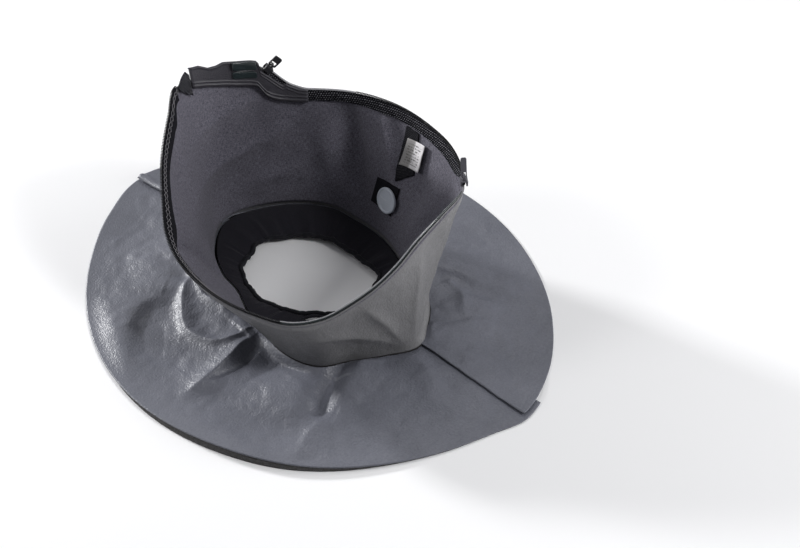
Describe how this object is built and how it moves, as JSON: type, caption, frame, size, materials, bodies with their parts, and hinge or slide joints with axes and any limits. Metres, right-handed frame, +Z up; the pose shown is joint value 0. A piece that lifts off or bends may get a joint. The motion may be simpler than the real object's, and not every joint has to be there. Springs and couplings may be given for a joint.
{
  "type": "smoke hood shroud",
  "caption": "Open-topped cloth cowl on a wide shoulder cape, with a stretch neck collar, a half-zip rim with sliders and pulls, and a moulded rear plate.",
  "frame": {"origin": "on the floor, at the middle of the part's bounding box", "axes": "+Z up; -Y is the wearer's front; +X is the wearer's left"},
  "size_m": [0.4746, 0.5744, 0.2178],
  "materials": {
    "cape_cloth": "coated cloth, slightly glossy",
    "shell_cloth": "coated cloth, satin",
    "lining_cloth": "heather woven cloth, matt",
    "stretch_cloth": "stretch knit, matt",
    "elastic": "cloth-covered elastic",
    "black_tape": "woven tape, matt",
    "zip_coil": "nylon coil",
    "plate_plastic": "grained moulding",
    "gloss_plastic": "glossy moulding",
    "slider_metal": "dark painted metal",
    "label_cloth": "satin label cloth",
    "snap_plastic": "satin moulding"
  },
  "bodies": {
    "shroud": {"cape_panel_left": "cape_cloth", "cape_panel_right": "cape_cloth", "cowl_shell": "shell_cloth", "cowl_lining": "lining_cloth", "neck_collar": "stretch_cloth", "collar_elastic": "elastic", "neck_seam_binding": "black_tape", "zip_tape_left": "black_tape", "zip_tape_right": "black_tape", "zip_coil_left": "zip_coil", "zip_coil_right": "zip_coil", "rear_plate": "plate_plastic", "corner_gusset": "black_tape", "latch_bar": "gloss_plastic", "latch_pad": "gloss_plastic", "label_strap": "black_tape", "care_label": "label_cloth", "snap_patch": "black_tape", "snap_cap": "snap_plastic", "snap_washer": "slider_metal"},
    "rear_slider_body": {"rear_slider": "slider_metal"},
    "rear_pull_body": {"rear_pull": "slider_metal"},
    "side_slider_body": {"side_slider": "slider_metal"},
    "side_pull_body": {"side_pull": "slider_metal"}
  },
  "joints": [
    {"name": "rear_slider_travel", "type": "slide", "parent": "shroud", "child": "rear_slider_body", "axis": [0.5263, -0.4591, -0.7157], "range_m": [0, 0.014]},
    {"name": "rear_pull_hinge", "type": "hinge", "parent": "rear_slider_body", "child": "rear_pull_body", "pos_m": [0.08749, 0.13416, 0.18871], "axis": [-0.5263, 0.4591, 0.7157], "range_deg": [-75, 75]},
    {"name": "side_slider_travel", "type": "slide", "parent": "shroud", "child": "side_slider_body", "axis": [0.6753, 0.7343, 0.069], "range_m": [0, 0.016]},
    {"name": "side_pull_hinge", "type": "hinge", "parent": "side_slider_body", "child": "side_pull_body", "pos_m": [0.10798, -0.11658, 0.15435], "axis": [-0.7361, 0.6769, 0], "range_deg": [-110, 54]}
  ]
}
